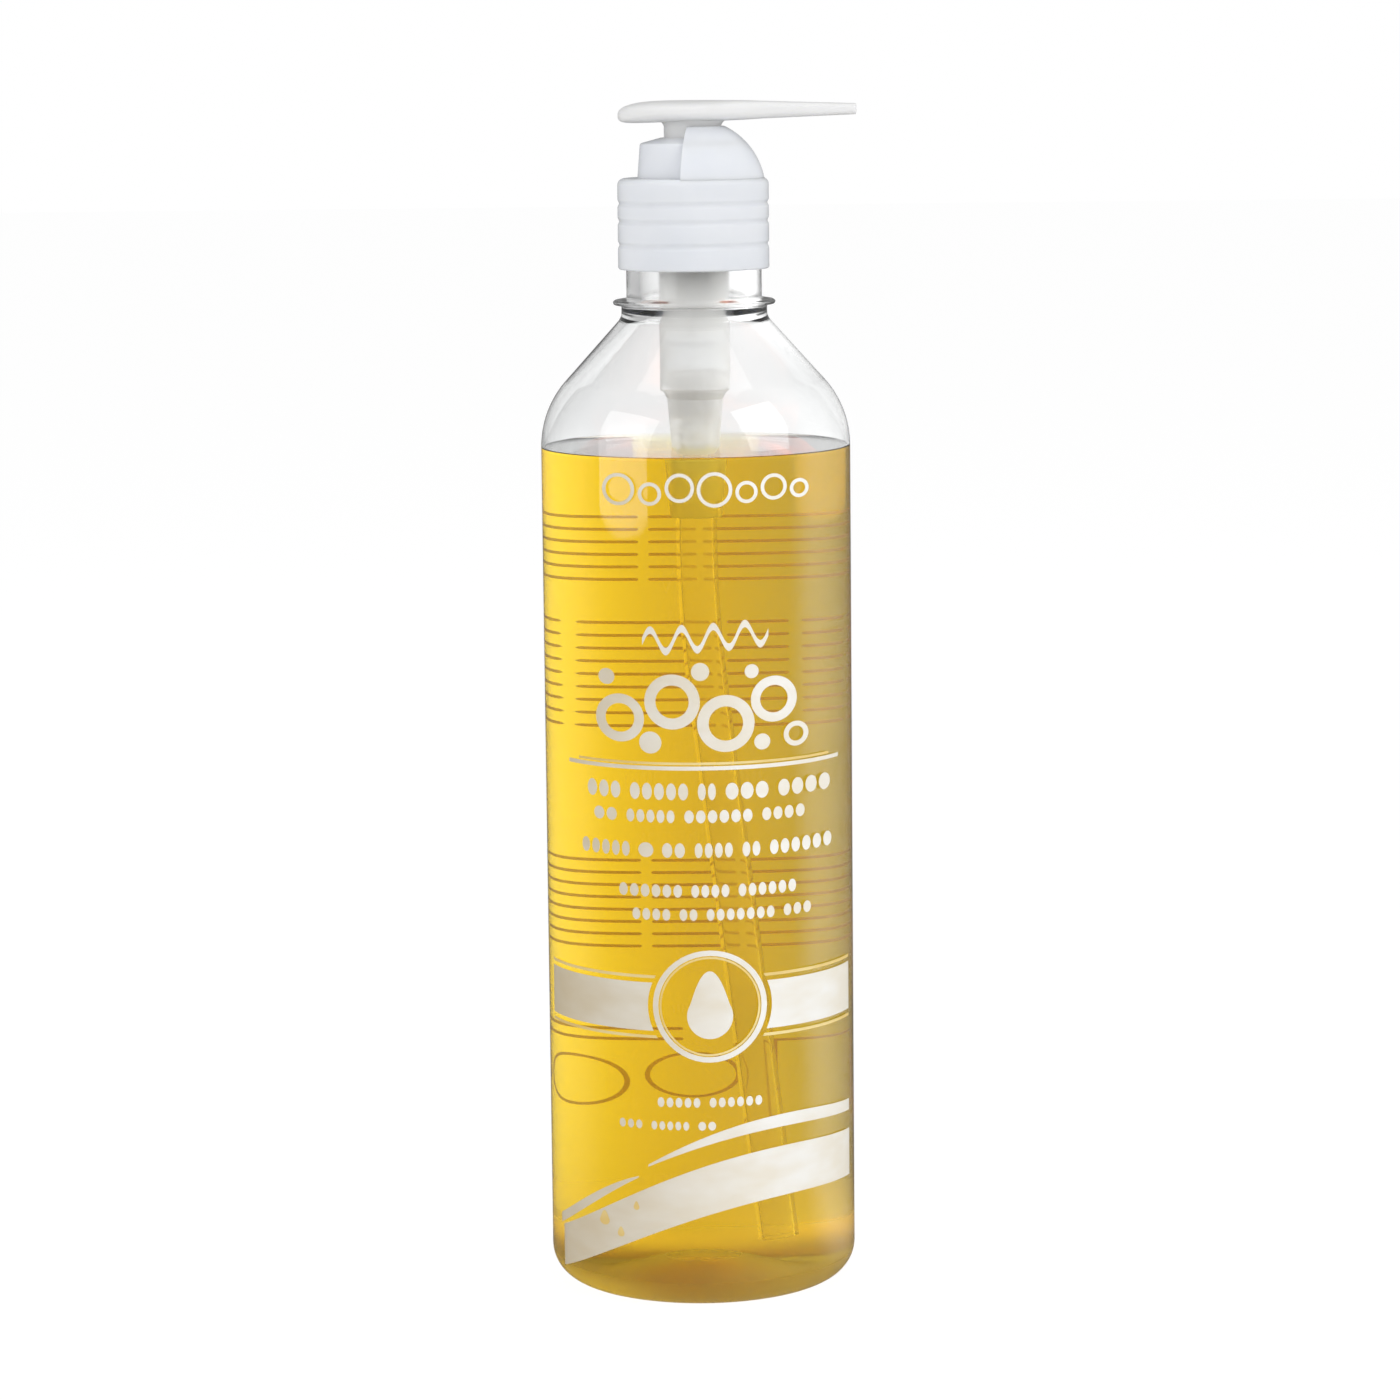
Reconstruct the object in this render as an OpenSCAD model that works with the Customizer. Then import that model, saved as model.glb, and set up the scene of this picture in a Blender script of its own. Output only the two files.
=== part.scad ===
// Clear bottle of liquid soap with a screw-on pump, shown locked down for storage.
// Millimetres. The base stands on z = 0, the bottle's axis is Z, and the nozzle points along +X.

/* [Bottle] */
// Outside diameter of the bottle's body, under its sleeve
body_d = 62.6; // [54:0.2:80]
// Height at which the straight side ends and the shoulder begins
side_h = 172; // [120:1:240]
// Thickness of the blown wall
wall = 0.5; // [0.4:0.1:1.2]
// Radius of the rounded edge at the base
base_edge_r = 6.9; // [4:0.1:9]
// Height of the hollow under the base
punt_h = 6; // [3:0.5:10]
// Width of the ring that the bottle stands on
foot_w = 3.4; // [2:0.1:6]
// Radius of the bend between the side and the shoulder
shoulder_r = 20; // [12:0.5:28]
// Lean of the shoulder's cone away from upright, in degrees
shoulder_lean = 42; // [34:1:50]
// Radius of the hollow curve under the neck
neck_curve_r = 3; // [1.5:0.1:5]

/* [Neck] */
// Bore of the neck
bore_d = 21.7; // [18:0.1:24]
// Wall of the neck behind its thread
neck_wall = 1.9; // [1.5:0.1:2.2]
// Step from the neck behind the thread out to the plain collar below it
collar_step = 0.9; // [0.4:0.1:1.2]
// Height of the plain collar above the support ring
collar_h = 7.5; // [6.5:0.5:9]
// Reach of the support ring beyond the plain collar
ring_reach = 2.85; // [1:0.05:4]
// Thickness of the support ring where it meets the neck
ring_t = 1.5; // [1:0.1:2.5]
// Height of the neck from the underside of the support ring to the lip
finish_h = 20.8; // [18:0.1:24]
// Turns of the neck's thread that the closure takes
thread_turns = 1.5; // [1:0.25:2]
// Rise of the thread in one turn
thread_pitch = 4.2; // [3:0.1:5]

/* [Soap and print] */
// Drop from the shoulder's foot to the soap's surface
soap_drop = 0.2; // [0:0.2:40]
// Thickness of the clear sleeve round the body
sleeve_t = 0.14; // [0.1:0.02:0.3]
// Drop from the shoulder's foot to the sleeve's upper edge
sleeve_drop = 0.4; // [0:0.2:40]
// Thickness of the printed ink
ink_t = 0.1; // [0.06:0.02:0.2]

/* [Closure] */
// Wall of the closure's skirt
skirt_wall = 1.2; // [0.9:0.1:1.5]
// Length of the closure's skirt
skirt_h = 18.2; // [16:0.1:19]
// Inset of the dome from the skirt
dome_inset = 0.6; // [0.3:0.1:1.2]
// Depth of the shallow rings round the skirt
groove_depth = 0.3; // [0.1:0.05:0.5]
// Radius of the low tower behind the dome, at its top
tower_r = 10.6; // [10:0.1:10.8]
// Growth of the tower's radius down to its foot
tower_taper = 0.6; // [0:0.1:0.8]
// Angle round the axis that the dome covers
dome_arc = 200; // [160:5:240]

/* [Pump] */
// Outside radius of the pump's barrel
barrel_r = 7.1; // [6.6:0.1:7.6]
// Wall of the barrel
barrel_wall = 1.1; // [0.8:0.1:1.3]
// Depth of the barrel below its flange
barrel_h = 38.9; // [36:0.1:44]
// Depth of the narrow foot below the barrel
foot_h = 25.4; // [24:0.1:32]
// Travel of the head from locked down to fully up
stroke = 13; // [8:0.5:14]
// Radius of the stem
stem_r = 3.4; // [3.2:0.1:3.6]
// Radius of the valve balls
ball_r = 2.3; // [2.2:0.05:2.4]
// Diameter of the spring's wire
spring_wire = 0.8; // [0.5:0.1:0.9]
// Turns of the spring
spring_turns = 8; // [6:1:9]

/* [Head] */
// Radius of the round boss under the head
boss_r = 5.75; // [5.4:0.05:6.2]
// Length of the boss below the head
boss_h = 10; // [8:0.5:11]
// Half-width of the pad that the hand presses
pad_half_w = 9.8; // [8:0.2:13]
// Thickness of the pad at its middle
pad_t = 4.3; // [3.6:0.1:5.5]
// Reach of the pad behind the axis
pad_back = 15.2; // [13:0.1:18]
// Reach of the pad towards the nozzle
pad_front = 14.3; // [12:0.1:18]
// Reach of the nozzle from the axis
nozzle_reach = 32.9; // [28:0.1:45]
// Half-width of the nozzle at its root
nozzle_half_w = 3.3; // [3:0.1:4]

/* [Dip tube] */
// Outside diameter of the dip tube
tube_d = 6.2; // [5.6:0.1:6.4]
// Wall of the dip tube
tube_wall = 0.7; // [0.5:0.1:0.9]
// Lean of the tube below its bend, in degrees
tube_lean = 5; // [2:0.5:6]
// Height of the tube's open end above the standing surface
tube_end = 9; // [8.5:0.5:20]

/* [Hidden] */
$fn = 96;

// Gaps: touching pieces of one body, faces that turn on each other, and running fits
touch_gap = 0.04;
turn_gap = 0.05;
run_gap = 0.05;
// Room round pieces that move past each other loosely
loose_gap = 0.3;

// Bottle's outline
body_r = body_d / 2;
bore_r = bore_d / 2;
thread_root_r = bore_r + neck_wall;
collar_r = thread_root_r + collar_step;
neck_foot_r = collar_r + 1.05;
bend_r_in = body_r - shoulder_r;
cone_r = bend_r_in + shoulder_r * cos(shoulder_lean);
cone_z = side_h + shoulder_r * sin(shoulder_lean);
curve_r_at = neck_foot_r + neck_curve_r;
curve_z_at = cone_z + (neck_curve_r - (curve_r_at - cone_r) * cos(shoulder_lean)) / sin(shoulder_lean);
ring_z = curve_z_at + 1.2;
lip_z = ring_z + finish_h;
foot_r = body_r - base_edge_r;

// Stack of flanges on the lip
gasket_t = 1.2;
flange_t = 1.2;
chaplet_t = 1;
deck_t = 1.2;
flange_r = thread_root_r - 0.1;
flange_z = lip_z + gasket_t + 2 * touch_gap;
chaplet_z = flange_z + flange_t + touch_gap;
deck_z = chaplet_z + chaplet_t + turn_gap;
deck_top = deck_z + deck_t;

// Closure and dome
skirt_in = collar_r + 0.4;
skirt_r = skirt_in + skirt_wall;
skirt_z = deck_top - skirt_h;
edge_round = 1.4;
dome_r = skirt_r - dome_inset;
dome_z = deck_top - 2.9;
mouth_r = boss_r + 0.4;
dome_top = dome_z + sqrt(dome_r * dome_r - mouth_r * mouth_r);
tower_top = dome_z + sqrt(dome_r * dome_r - tower_r * tower_r) - 0.3;
tower_rise = 1.2;
groove_drops = [5, 8.6, 13.3];
groove_r = 0.9;
end_wall_angle = 6;

// Barrel, foot and their bores
barrel_in = barrel_r - barrel_wall;
barrel_z = flange_z - barrel_h;
cone_drop = 2;
foot_top_r = 5.65;
spigot_r = tube_d / 2 + 0.8;
foot_z = barrel_z - foot_h;
spring_bore_r = 4.25;
spring_seat_z = barrel_z - 5.8;
cage_r = ball_r + 0.55;
catch_r = ball_r - 0.2;
catch_t = 0.8;
inlet_r = 1.6;
seat_h = 1.6;
socket_top = barrel_z - 13.6;
cage_z = socket_top + 2.4;

// Chaplet
chaplet_bore_r = boss_r + 0.15;
chaplet_wall_r = chaplet_bore_r + 2.3;
chaplet_top = deck_top + 5.4;
chaplet_web = 1.5;
head_z = dome_top + 0.75;
boss_z = head_z - boss_h;

// Piston and stem at rest, locked down
piston_z = barrel_z + 4.2;
piston_h = 6.5;
piston_r = barrel_in - run_gap;
plug_z = piston_z + piston_h + stroke + 0.3;
stem_top = head_z - 0.6;
stem_foot_t = 1.4;
stem_foot_r = 4;
stem_z = piston_z - stem_foot_t;
outlet_seat_z = stem_top - 6.2;
outlet_cage_r = ball_r + 0.35;
stem_bore_r = 1.5;

// Spring, between its seat in the foot and the stem's foot
spring_r = 3.4;
spring_z = spring_seat_z + touch_gap;
spring_len = stem_z - touch_gap - spring_z;
spring_steps = 14;

// Dip tube: upright through its socket, then a long bend, then straight down at its lean
tube_r = tube_d / 2;
tube_top = socket_top - touch_gap;
tube_bend_z = foot_z - 3;
tube_bend_len = 30;
tube_bend_r = tube_bend_len / (tube_lean * PI / 180);
tube_bend_steps = 8;
tube_bend_x = tube_bend_r * (1 - cos(tube_lean));
tube_bend_end_z = tube_bend_z - tube_bend_r * sin(tube_lean);
closure_lift = thread_turns * thread_pitch;
tube_room = loose_gap + closure_lift * sin(tube_lean);

// Sleeve and print
sleeve_in = touch_gap;
sleeve_out = sleeve_in + sleeve_t;
ink_in = sleeve_out + 0.02;
ink_out = ink_in + ink_t;
print_reach = body_r + 10;
print_half_w = body_r - 1.3;
sleeve_top = side_h - sleeve_drop;
soap_level = side_h - soap_drop;
// The print is drawn for this half-width and between these heights, and then stretched to the sleeve
drawn_half_w = 30;
drawn_top = 171.6;
drawn_foot = 6.9;
print_across = print_half_w / drawn_half_w;
print_up = (sleeve_top - base_edge_r) / (drawn_top - drawn_foot);

// Colours
clear_pet = [0.92, 0.94, 0.95, 0.35];
soap_yellow = [0.87, 0.69, 0.16, 0.8];
pump_white = [0.92, 0.93, 0.94];
natural_plastic = [0.86, 0.87, 0.86];
ink_white = [0.97, 0.96, 0.92];

// Points on an arc about [r, z], from angle a to angle b
function arc(r, z, rad, a, b, n = 12) =
    [for (i = [0:n]) [r + rad * cos(a + (b - a) * i / n), z + rad * sin(a + (b - a) * i / n)]];

// Outer line of the body, set in by t: rounded base edge, side, shoulder bend, cone and neck curve
function body_line(t) = concat(
    arc(foot_r, base_edge_r, base_edge_r - t, -90, 0),
    arc(bend_r_in, side_h, shoulder_r - t, 0, shoulder_lean, 16),
    arc(curve_r_at, curve_z_at, neck_curve_r + t, 180 + shoulder_lean, 180, 6));

// Line of the hollow under the base, set in by t, from the axis out to the standing ring
function punt_line(t) = let (inner = foot_r - foot_w, rise = punt_h)
    [for (i = [0:10]) let (u = i / 10) [inner * u, t + rise * (1 - u * u) * (1 - u * u)]];

// Bottle, blown as one piece with its neck
module bottle() {
    outer = concat(punt_line(0), body_line(0), [
        [neck_foot_r, ring_z],
        [collar_r + ring_reach - 0.4, ring_z + 0.3],
        [collar_r + ring_reach, ring_z + 0.6],
        [collar_r + ring_reach, ring_z + 0.9],
        [collar_r + ring_reach - 0.5, ring_z + 1.15],
        [collar_r, ring_z + ring_t],
        [collar_r, ring_z + collar_h],
        [thread_root_r, ring_z + collar_h + collar_step],
        [thread_root_r, lip_z - 0.5],
        [thread_root_r - 0.5, lip_z]]);
    inner = concat(punt_line(wall), [for (p = body_line(wall)) if (p[1] < cone_z + 8) p], [
        [bore_r + 0.6, ring_z - 1.6],
        [bore_r, ring_z],
        [bore_r, lip_z - 0.4],
        [bore_r + 0.4, lip_z]]);
    count = len(inner);
    color(clear_pet) rotate_extrude()
        polygon(concat(outer, [for (i = [1:count]) inner[count - i]]));
}

// Soap, filling the bottle up to its level, with room round the tube and the pump's foot
module liquid_soap() {
    gap = wall + 2 * touch_gap;
    room_sides = 16;
    color(soap_yellow) difference() {
        intersection() {
            rotate_extrude()
                polygon(concat(punt_line(gap), [for (p = body_line(gap)) if (p[1] < cone_z) p], [[0, cone_z]]));
            cylinder(r = body_r, h = soap_level);
        }
        loft([for (p = tube_path(loose_gap)) tube_ring(p, tube_r + tube_room, room_sides)], room_sides);
        translate([0, 0, foot_z - loose_gap])
            cylinder(r = foot_top_r + loose_gap, h = barrel_z - foot_z);
    }
}

// Thin skin that follows the body, from low on the base edge up to the sleeve's top
module skin(inner_gap, outer_gap) {
    lower_angle = -50;
    rotate_extrude() polygon(concat(
        arc(foot_r, base_edge_r, base_edge_r + outer_gap, lower_angle, 0, 8),
        [[body_r + outer_gap, sleeve_top], [body_r + inner_gap, sleeve_top]],
        arc(foot_r, base_edge_r, base_edge_r + inner_gap, 0, lower_angle, 8)));
}

// Clear sleeve shrunk round the body
module sleeve() { color(clear_pet) skin(sleeve_in, sleeve_out); }

// A flat pattern in x and z, pressed through the ink layer on the front or the back half
module inked(side) {
    intersection() {
        translate([0, 0, base_edge_r]) difference() {
            cylinder(r = body_r + ink_out, h = sleeve_top - base_edge_r);
            translate([0, 0, -1]) cylinder(r = body_r + ink_in, h = sleeve_top - base_edge_r + 2);
        }
        rotate([90, 0, side > 0 ? 180 : 0]) linear_extrude(print_reach)
            translate([0, sleeve_top]) scale([print_across, print_up]) translate([0, -drawn_top]) children();
    }
}

// A row of bars of the given widths, centred on [x, z], each gap apart
module bar_row(z, h, widths, gap, x = 0) {
    ends = [for (i = 0, e = 0; i <= len(widths); e = e + (i < len(widths) ? widths[i] + gap : 0), i = i + 1) e];
    for (i = [0:len(widths) - 1])
        translate([x + ends[i] - (ends[len(widths)] - gap) / 2, z - h / 2]) square([widths[i], h]);
}

// A band between two curves that rise and bend as they cross the label
module sweep_band(from_x, to_x, low, high, n = 16) {
    xs = [for (i = [0:n]) from_x + (to_x - from_x) * i / n];
    back = [for (i = [0:n]) xs[n - i]];
    polygon(concat([for (x = xs) [x, low[0] + low[1] * x + low[2] * x * x]],
        [for (x = back) [x, high[0] + high[1] * x + high[2] * x * x]]));
}

// Ring of ink with a clear middle
module ink_ring(r, line) {
    difference() {
        circle(r);
        circle(r - line);
    }
}

// Plain drop with its point upwards: a round belly and two straight flanks that meet above it
module drop(r) {
    polygon(concat(arc(0, 0, r, 150, 390, 16), [[0, 2 * r]]));
}

// Soap bubbles: a string of thin ones at the top, and a cluster of open ones and small full ones
module bubbles() {
    for (b = [[-15.4, 166, 3.2], [-9.2, 165.2, 2.3], [-3.3, 166.4, 2.9], [3.6, 166, 3.5], [9.9, 165.4, 2.2],
        [15.3, 166.2, 2.6], [20.4, 165.6, 1.9]])
        translate([b[0], b[1]]) ink_ring(b[2], 0.7);
    for (b = [[-15.6, 120.5, 4.8], [-5.2, 124, 5.5], [5.4, 119.6, 5.7], [15, 124, 4.6], [19.4, 116.6, 2.5]])
        translate([b[0], b[1]]) ink_ring(b[2], 0.4 * b[2]);
    for (b = [[-9.6, 115.8, 2.2], [0.4, 130, 1.8], [10.6, 129.8, 1.4], [12.6, 115.6, 1.6], [-18.2, 128.6, 1.6]])
        translate([b[0], b[1]]) circle(b[2]);
}

// Wavy rule that rises to the right, as thick as line everywhere when measured upright
module wavy_rule(from_x, to_x, mid, rise, swing, waves, line, n = 64) {
    xs = [for (i = [0:n]) from_x + (to_x - from_x) * i / n];
    edge = [for (i = [0:n]) mid + rise * (xs[i] - from_x) + swing * sin(360 * waves * i / n)];
    polygon(concat([for (i = [0:n]) [xs[i], edge[i]]], [for (i = [0:n]) [xs[n - i], edge[n - i] + line]]));
}

// Rules and rows of bars where a label has its lines of words
module word_bars() {
    wavy_rule(-11, 14, 135.2, 0.06, 2.2, 4, 1.5);
    translate([-26, 110.3]) square([54, 0.8]);
    translate([-24, 111.6]) square([50, 0.4]);
    bar_row(106, 3.6, [7, 12, 4, 9, 11], 1.5, 2);
    bar_row(101, 2.8, [5, 10, 14, 9], 1.5);
    bar_row(94.2, 3.2, [10, 3, 5, 8, 4, 13], 1.5, 1.5);
    bar_row(86, 2.8, [13, 8, 12], 1.4, 1.5);
    bar_row(81.2, 2.6, [8, 4, 14, 6], 1.4, 4.3);
    bar_row(43, 2.2, [9, 11], 1.4, 1.5);
    bar_row(38.2, 2, [5, 8, 4], 1.4, -7);
}

// Band round the front, clear behind a round badge that holds a drop
module badge_band() {
    badge = [1.7, 62.6];
    badge_r = 11.4;
    difference() {
        for (strip = [[57.5, 9.8], [56, 0.6], [68.2, 0.6]])
            translate([-drawn_half_w, strip[0]]) square([2 * drawn_half_w, strip[1]]);
        translate(badge) circle(badge_r + 1);
    }
    translate(badge) ink_ring(badge_r, 1.1);
    translate(badge - [0, 2]) drop(4.6);
}

// Sweeps that rise to the right: a thin one, a short one at the left, and a broad one with clear drops in it
module sweeps() {
    sweep_band(-11, drawn_half_w, [34, 0.317, -0.008], [35.7, 0.407, -0.0103]);
    sweep_band(-29, -13, [32.2, 0.198, -0.0148], [27.2, -0.346, -0.0252]);
    difference() {
        sweep_band(-drawn_half_w, drawn_half_w, [19.6, 0.31, -0.0068], [29.8, 0.33, -0.008]);
        for (d = [[-20, 17.4, 1], [-16.7, 15.2, 0.7], [-13.5, 21, 0.6]]) translate([d[0], d[1]]) drop(d[2]);
    }
}

// White print on the front
module front_print() {
    color(ink_white) {
        inked(-1) bubbles();
        inked(-1) word_bars();
        inked(-1) badge_band();
        inked(-1) sweeps();
    }
}

// White print on the back: rows of fine broken lines, two rings and a panel outline
module back_print() {
    row_h = 0.6;
    line = 0.5;
    // Each paragraph has its first row, last row, pitch and bar widths
    paragraphs = [[156, 141, 2.6, [7, 11, 5, 14]], [134, 110, 2.7, [10, 6, 13, 8]], [84, 64, 2.6, [15, 9, 14]]];
    color(ink_white) inked(1) {
        for (p = paragraphs, z = [p[0]:-p[2]:p[1]]) bar_row(z, row_h, p[3], 1);
        for (z = [48.2, 46]) bar_row(z, row_h, [11, 8], 1.2, 12);
        translate([13.2, 36.8]) ink_ring(6, line);
        translate([0.9, 38.3]) ink_ring(4.9, line);
        translate([-21, 29]) difference() {
            square([14, 16.7]);
            translate([line, line]) square([14 - 2 * line, 16.7 - 2 * line]);
        }
    }
}

// Soft ring between the lip and the pump's flange
module neck_gasket() {
    color(natural_plastic) translate([0, 0, lip_z + touch_gap]) difference() {
        cylinder(r = flange_r, h = gasket_t);
        translate([0, 0, -1]) cylinder(r = barrel_r + 0.15, h = gasket_t + 2);
    }
}

// Outline of the closure without its dome: ringed skirt with a rounded shoulder and the deck
module closure_shell() {
    rotate_extrude() difference() {
        polygon(concat([[chaplet_wall_r + 0.2, deck_top], [chaplet_wall_r + 0.2, deck_z], [skirt_in, deck_z],
            [skirt_in, skirt_z], [skirt_r - 0.2, skirt_z], [skirt_r, skirt_z + 0.2]],
            arc(skirt_r - edge_round, deck_top - edge_round, edge_round, 0, 90, 6)));
        for (d = groove_drops)
            translate([skirt_r + groove_r - groove_depth, deck_top - d]) circle(groove_r);
    }
}

// Half-section of a dome of the given radius between two heights
module dome_section(rad, low_z, high_z) {
    intersection() {
        translate([0, dome_z]) circle(rad);
        translate([0, low_z]) square([rad, high_z - low_z]);
    }
}

// Closure, with its dome open behind to show the low tower
module closure() {
    root_z = deck_z + deck_t / 2;
    half = dome_arc / 2;
    color(pump_white) union() {
        closure_shell();
        difference() {
            union() {
                rotate([0, 0, -half]) rotate_extrude(angle = dome_arc)
                    dome_section(dome_r, root_z, dome_z + dome_r);
                rotate_extrude()
                    polygon([[0, root_z], [tower_r + tower_taper, root_z], [tower_r, tower_top],
                        [mouth_r, tower_top + tower_rise], [0, tower_top + tower_rise]]);
            }
            translate([0, 0, deck_z - 1]) cylinder(r = tower_r - skirt_wall, h = tower_top - skirt_wall - deck_z + 1);
            rotate([0, 0, end_wall_angle - half]) rotate_extrude(angle = dome_arc - 2 * end_wall_angle)
                dome_section(dome_r - skirt_wall, root_z - 1, tower_top - 2 * skirt_wall);
            translate([0, 0, deck_z]) cylinder(r = mouth_r, h = dome_r + 10);
        }
    }
}

// Collar that holds the stem and takes the head's boss when it is locked down
module chaplet() {
    color(pump_white) rotate_extrude() polygon([
        [stem_r + run_gap, plug_z], [barrel_in - run_gap, plug_z], [barrel_in - run_gap, chaplet_z],
        [flange_r, chaplet_z], [flange_r, chaplet_z + chaplet_t], [chaplet_wall_r, chaplet_z + chaplet_t],
        [chaplet_wall_r, chaplet_top - 0.4], [chaplet_wall_r - 0.4, chaplet_top], [chaplet_bore_r + 0.4, chaplet_top],
        [chaplet_bore_r, chaplet_top - 0.4], [chaplet_bore_r, chaplet_z + chaplet_web],
        [stem_r + run_gap, chaplet_z + chaplet_web]]);
}

// Barrel with its flange, tapered foot, ball cage and the socket for the dip tube
module housing() {
    color(natural_plastic) rotate_extrude() polygon([
        [barrel_in, flange_z + flange_t], [barrel_in, barrel_z + barrel_wall], [spring_bore_r, barrel_z + barrel_wall],
        [spring_bore_r, spring_seat_z], [catch_r, spring_seat_z], [catch_r, spring_seat_z - catch_t],
        [cage_r, spring_seat_z - catch_t - 0.6], [cage_r, cage_z], [inlet_r, cage_z - seat_h], [inlet_r, socket_top],
        [tube_r + 0.02, socket_top], [tube_r + 0.02, foot_z + 0.4], [tube_r + 0.4, foot_z], [spigot_r - 0.2, foot_z],
        [spigot_r, foot_z + 0.3], [spigot_r + 0.7, socket_top - 1], [foot_top_r, barrel_z - cone_drop],
        [barrel_r - 0.4, barrel_z], [barrel_r, barrel_z + 0.6], [barrel_r, flange_z], [flange_r, flange_z],
        [flange_r, flange_z + flange_t]]);
}

// Stations [x, z, lean] down the dip tube's centre line, run on below its open end by extra
function tube_path(extra) = concat([[0, tube_top, 0]],
    [for (i = [0:tube_bend_steps]) let (lean = tube_lean * i / tube_bend_steps)
        [tube_bend_r * (1 - cos(lean)), tube_bend_z - tube_bend_r * sin(lean), lean]],
    [let (fall = tube_bend_end_z - tube_end + extra)
        [tube_bend_x + fall * tan(tube_lean), tube_bend_end_z - fall, tube_lean]]);

// Ring of n points of radius r round a station, square to the line there
function tube_ring(station, r, n) = [for (i = [0:n - 1]) let (a = 360 * i / n)
    [station[0] + r * cos(a) * cos(station[2]), -r * sin(a), station[1] + r * cos(a) * sin(station[2])]];

// Dip tube, one skin that runs down outside and back up inside
module dip_tube() {
    sides = 24;
    down = tube_path(0);
    last = len(down) - 1;
    rings = concat([for (p = down) tube_ring(p, tube_r, sides)],
        [for (i = [0:last]) tube_ring(down[last - i], tube_r - tube_wall, sides)]);
    count = len(rings);
    color(natural_plastic) polyhedron([for (ring = rings) each ring],
        [for (i = [0:count - 1], j = [0:sides - 1])
            let (k = (j + 1) % sides, a = i * sides, b = (i + 1) % count * sides)
                each [[a + j, b + j, a + k], [a + k, b + j, b + k]]]);
}

// Height of a ball's centre where it rests in a cone from wide_r down to narrow_r over the height rise
function resting_z(wide_r, narrow_r, rise, low_z) =
    let (tilt = atan2(rise, wide_r - narrow_r)) low_z + (ball_r + run_gap) / cos(tilt) - narrow_r * tan(tilt);

// Ball that closes the inlet
module inlet_ball() {
    color("gainsboro") translate([0, 0, resting_z(cage_r, inlet_r, seat_h, cage_z - seat_h)]) sphere(r = ball_r);
}

// Ball that closes the stem
module outlet_ball() {
    color("gainsboro") translate([0, 0, resting_z(outlet_cage_r, stem_bore_r, seat_h, outlet_seat_z)])
        sphere(r = ball_r);
}

// Spring, a helix of round wire whose first and last turns lie nearly closed, swept as rings of points
module return_spring() {
    sides = 8;
    wire_r = spring_wire / 2;
    steps = spring_turns * spring_steps;
    full_rise = spring_len - spring_wire;
    end_rise = 0.96 * spring_wire;
    open_rise = full_rise - 2 * end_rise;
    function lift(turn) = turn < 1 ? end_rise * turn
        : turn > spring_turns - 1 ? full_rise - end_rise * (spring_turns - turn)
        : end_rise + open_rise * (turn - 1) / (spring_turns - 2);
    rings = [for (i = [0:steps], j = [0:sides - 1])
        let (a = 360 * i / spring_steps, b = 360 * j / sides, rad = spring_r + wire_r * cos(b))
            [rad * cos(a), rad * sin(a), spring_z + wire_r + lift(i / spring_steps) + wire_r * sin(b)]];
    walls = [for (i = [0:steps - 1], j = [0:sides - 1])
        let (k = (j + 1) % sides) [(i + 1) * sides + j, (i + 1) * sides + k, i * sides + k, i * sides + j]];
    first_end = [for (j = [0:sides - 1]) sides - 1 - j];
    last_end = [for (j = [0:sides - 1]) steps * sides + j];
    color("silver") polyhedron(rings, concat(walls, [last_end, first_end]));
}

// Piston with a sealing lip at each end
module piston() {
    hub = stem_r - 0.6 + 0.02;
    color(pump_white) rotate_extrude() polygon([
        [hub, piston_z], [piston_r, piston_z], [piston_r, piston_z + 1.2],
        [piston_r - 0.9, piston_z + 2.2], [piston_r - 0.9, piston_z + piston_h - 2.2],
        [piston_r, piston_z + piston_h - 1.2], [piston_r, piston_z + piston_h],
        [piston_r - 0.7, piston_z + piston_h], [piston_r - 1.6, piston_z + piston_h - 1.6],
        [hub, piston_z + piston_h - 1.6]]);
}

// Hollow stem, with a foot under the piston and a ball cage at its top
module stem() {
    neck = stem_r - 0.6;
    shoulder_z = piston_z + piston_h - 1.6 + touch_gap;
    color(natural_plastic) rotate_extrude() polygon([
        [stem_bore_r, stem_z], [stem_foot_r, stem_z], [stem_foot_r, piston_z - touch_gap],
        [neck, piston_z - touch_gap], [neck, shoulder_z], [stem_r, shoulder_z], [stem_r, stem_top],
        [outlet_cage_r, stem_top], [outlet_cage_r, outlet_seat_z + seat_h], [stem_bore_r, outlet_seat_z]]);
}

// Section of the pad or nozzle at x: a rounded oval in y and z
function oval(x, half_w, mid_z, half_h, n, power) = [for (i = [0:n - 1])
    let (a = 360 * i / n, c = cos(a), s = sin(a))
        [x, half_w * sign(c) * pow(abs(c), 2 / power), mid_z + half_h * sign(s) * pow(abs(s), 2 / power)]];

// Closed skin through a list of ovals of n points each
module loft(sections, n) {
    points = [for (s = sections) each s];
    last = len(sections) - 1;
    sides = [for (i = [0:last - 1], j = [0:n - 1])
        let (k = (j + 1) % n, a = i * n, b = (i + 1) * n) each [[a + j, a + k, b + j], [a + k, b + k, b + j]]];
    near_cap = [for (j = [1:n - 2]) [0, j + 1, j]];
    far_cap = [for (j = [1:n - 2]) [last * n, last * n + j, last * n + j + 1]];
    polyhedron(points, concat([for (f = sides) [f[0], f[2], f[1]]], [for (f = near_cap) [f[0], f[2], f[1]]],
        [for (f = far_cap) [f[0], f[2], f[1]]]));
}

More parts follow.
